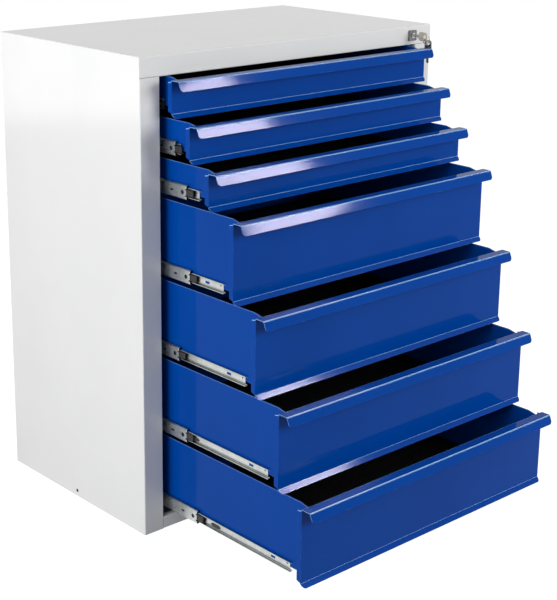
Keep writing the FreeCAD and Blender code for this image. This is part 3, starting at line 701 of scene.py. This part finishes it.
def makeRaces(s):
    tree = makeRaceTree()
    for number in range(1, drawerCount + 1):
        low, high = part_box(f"middle_members_{number}")
        level = (low.z + high.z) / 2
        starts = {"inner": low.y + s["inner"]["inset"], "outer": high.y - s["outer"]["inset"]}
        rows = []
        for side in (-1, 1):
            for run, start in starts.items():
                row = s[run]
                rows.append(grownPiece("race", tree, {
                    "Start": (side * row["across"], start, level), "Pitch": s["pitch"],
                    "Count": s["count"], "Ball Radius": row["ball"], "Rise": row["rise"],
                    "Cage Shift": side * row["cageShift"], "Cage Sheet": s["cageSheet"],
                    "Material": finishes["dark_chrome"]}))
        races = joinPieces(f"ball_races_{number}", rows)
        for face in races.data.polygons:
            face.use_smooth = len(face.vertices) == 3    # the balls, and not the flat cages
        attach(races, f"slide_{number}")


makeRaces(raceSettings)
print("balls and cages set in the slides")

stageSettings = {
    "floorSize": 14.0,
    "floorLevel": -0.0005,
    "floorColour": 0.35,
    "floorGlow": 0.92,       # how white the camera and reflections see the floor
    "skyGlow": 1.0,          # and the sky
    "skyStrength": 0.30,
}
# brightness: 1 is plain white; shows: the rays that find the lamp; lights: all that it lights
lampSettings = {
    "leftSoftbox": {"place": (-3.4, -0.6, 1.5), "aim": (-0.4, -0.1, 0.5), "size": (2.2, 2.0),
                    "brightness": 6.9, "shows": "diffuse"},
    "frontSoftbox": {"place": (1.5, -3.1, 1.6), "aim": (0.0, -0.3, 0.9), "size": (1.8, 1.4),
                     "brightness": 8.8, "shows": "diffuse"},
    "lipStrip": {"place": (1.703, -2.494, 1.860), "aim": (1.036, -1.834, 1.514),
                 "size": (0.386, 0.751), "roll": 0.1, "brightness": 122.0, "shows": "gloss",
                 "lights": "drawer_front"},
    "kickStrip": {"place": (1.643, -1.659, 2.347), "aim": (1.000, -1.306, 1.667),
                  "size": (0.371, 0.479), "brightness": 100.0, "shows": "gloss",
                  "lights": "drawer_front"},
    "sideCard": {"place": (-2.119, 2.446, 0.580), "aim": (-1.545, 1.613, 0.675),
                 "size": (0.90, 0.60), "brightness": 1.8, "shows": "gloss",
                 "lights": "side_panel"},
}


def newWiring(owner):
    owner.use_nodes = True
    owner.node_tree.nodes.clear()
    return Wiring(owner.node_tree)


def seenRays(w):
    # 1 for the camera's rays and for mirrored and transmitted ones
    path = w.add("ShaderNodeLightPath").outputs
    seen = w.math("MAXIMUM", path["Is Camera Ray"], path["Is Glossy Ray"])
    return w.math("MAXIMUM", seen, path["Is Transmission Ray"])


def makeFloor(s):
    half, level = s["floorSize"] / 2, s["floorLevel"]
    mesh = bpy.data.meshes.new("studioFloor")
    corners = [(-half, -half, level), (half, -half, level), (half, half, level),
               (-half, half, level)]
    mesh.from_pydata(corners, [], [(0, 1, 2, 3)])
    floor = bpy.data.objects.new("studioFloor", mesh)
    bpy.context.scene.collection.objects.link(floor)
    material = bpy.data.materials.new("studioFloor")
    w = newWiring(material)
    shade = s["floorColour"]
    paper = w.add("ShaderNodeBsdfDiffuse", {"Color": (shade, shade, shade, 1)})
    glow = w.add("ShaderNodeEmission", {
        "Color": (1, 1, 1, 1), "Strength": w.math("MULTIPLY", seenRays(w), s["floorGlow"])})
    both = w.add("ShaderNodeAddShader", {0: paper.outputs[0], 1: glow.outputs[0]})
    w.add("ShaderNodeOutputMaterial", {"Surface": both.outputs[0]})
    mesh.materials.append(material)


def makeWorld(s):
    world = bpy.data.worlds.new("studio")
    bpy.context.scene.world = world
    w = newWiring(world)
    sky = w.add("ShaderNodeBackground", {"Color": (1, 1, 1, 1), "Strength": s["skyStrength"]})
    white = w.add("ShaderNodeBackground", {"Color": (1, 1, 1, 1), "Strength": s["skyGlow"]})
    both = w.add("ShaderNodeMixShader", {0: seenRays(w), 1: sky.outputs[0], 2: white.outputs[0]})
    w.add("ShaderNodeOutputWorld", {"Surface": both.outputs[0]})


def addLamp(name, s):
    lamp = bpy.data.lights.new(name, "AREA")
    lamp.shape = "RECTANGLE"
    lamp.size, lamp.size_y = s["size"]
    lamp.energy = s["brightness"] * math.pi * lamp.size * lamp.size_y
    holder = bpy.data.objects.new(name, lamp)
    bpy.context.scene.collection.objects.link(holder)
    holder.visible_camera = False
    holder.visible_diffuse = s["shows"] != "gloss"
    holder.visible_glossy = s["shows"] != "diffuse"
    holder.location = s["place"]
    aim = Vector(s["aim"]) - Vector(s["place"])
    facing = aim.to_track_quat("-Z", "Y").to_matrix()
    facing = facing @ Matrix.Rotation(s.get("roll", 0.0), 3, "Z")
    holder.rotation_euler = facing.to_euler()
    if "lights" in s:
        lit = bpy.data.collections.new(name + "Receivers")
        for piece in bpy.data.objects:
            if piece.name.startswith(s["lights"]) and piece.name.endswith("_finished"):
                lit.objects.link(piece)
        holder.light_linking.receiver_collection = lit


makeFloor(stageSettings)
makeWorld(stageSettings)
for lampName, lampRow in lampSettings.items():
    addLamp(lampName, lampRow)
print("stage and lamps set")
